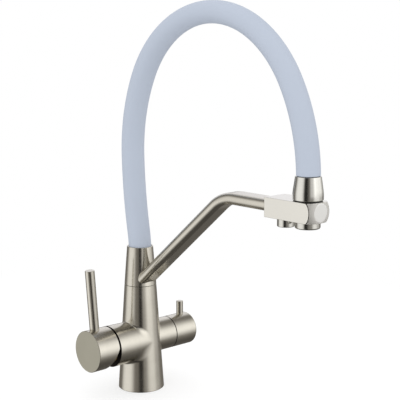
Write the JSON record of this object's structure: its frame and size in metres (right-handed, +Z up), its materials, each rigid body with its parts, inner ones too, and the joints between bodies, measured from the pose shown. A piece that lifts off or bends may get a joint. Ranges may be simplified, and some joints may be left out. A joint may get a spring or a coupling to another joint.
{
  "type": "kitchen mixer tap",
  "caption": "Three-way kitchen tap with a conical column, side lever, filtered-water valve, rigid arm and an arched silicone hose that ends in a docked spray head.",
  "frame": {"origin": "centre of the base on the deck surface, on the axis of the column and of the round recess under it", "axes": "+Z up along the column, +X the way the spout arm points at rest, -Y the mixer branch and +Y the filtered-water branch"},
  "size_m": [0.2937, 0.1452, 0.4344],
  "materials": {
    "brushed_nickel": "brushed nickel plate",
    "satin_nickel": "satin nickel plate",
    "blue_grey_silicone": "matt silicone",
    "line_plastic": "plain",
    "brass": "machined",
    "stainless": "machined",
    "white_plastic": "moulded",
    "black_plastic": "moulded",
    "black_rubber": "moulded"
  },
  "bodies": {
    "base": {"body": "brushed_nickel", "mixer_housing": "brushed_nickel", "valve_housing": "brushed_nickel", "base_seal": "black_rubber", "swivel_spigot": "brass", "lower_bush": "white_plastic", "upper_bush": "white_plastic", "lower_oring": "black_rubber", "upper_oring": "black_rubber", "swivel_clip": "stainless", "cartridge": "white_plastic", "cartridge_seals": "black_rubber", "cartridge_nut": "brass", "valve_headwork": "brass", "valve_seal": "black_rubber"},
    "spout": {"sleeve": "brushed_nickel", "arm": "brushed_nickel", "outlet_block": "satin_nickel", "dock_bush": "black_plastic", "filtered_outlet": "satin_nickel", "filtered_insert": "white_plastic", "filtered_gasket": "black_rubber", "hose_root": "brass", "root_seal": "black_rubber", "hose": "blue_grey_silicone", "hose_flex": "blue_grey_silicone", "water_line": "line_plastic", "water_line_flex": "line_plastic"},
    "spray_head": {"ferrule": "satin_nickel", "nozzle_body": "brass", "mixed_outlet": "satin_nickel", "aerator": "white_plastic", "aerator_gasket": "black_rubber"},
    "mixer_rotor": {"cartridge_rotor": "white_plastic", "cross_pin": "stainless"},
    "mixer_lever": {"cartridge_stem": "stainless", "mixer_cap": "brushed_nickel", "lever_pin": "brushed_nickel", "mixer_set_screw": "stainless"},
    "valve_handle": {"valve_spindle": "brass", "valve_cap": "brushed_nickel", "valve_pin": "brushed_nickel", "valve_set_screw": "stainless"}
  },
  "joints": [
    {"name": "spout_swivel", "type": "hinge", "parent": "base", "child": "spout", "pos_m": [0, 0, 0], "axis": [0, 0, 1], "continuous": true},
    {"name": "head_lift", "type": "slide", "parent": "spout", "child": "spray_head", "axis": [0, 0, 1], "range_m": [0, 0.03], "stiffness_N_per_m": 80, "deforming": ["hose_flex", "water_line_flex"]},
    {"name": "mixer_turn", "type": "hinge", "parent": "base", "child": "mixer_rotor", "pos_m": [0, 0, 0.0559], "axis": [0, 1, 0], "range_deg": [-50, 50]},
    {"name": "mixer_lift", "type": "hinge", "parent": "mixer_rotor", "child": "mixer_lever", "pos_m": [0, -0.041, 0.0559], "axis": [1, 0, 0], "range_deg": [0, 20]},
    {"name": "valve_turn", "type": "hinge", "parent": "base", "child": "valve_handle", "pos_m": [0, 0, 0.0559], "axis": [0, 1, 0], "range_deg": [0, 90]}
  ]
}
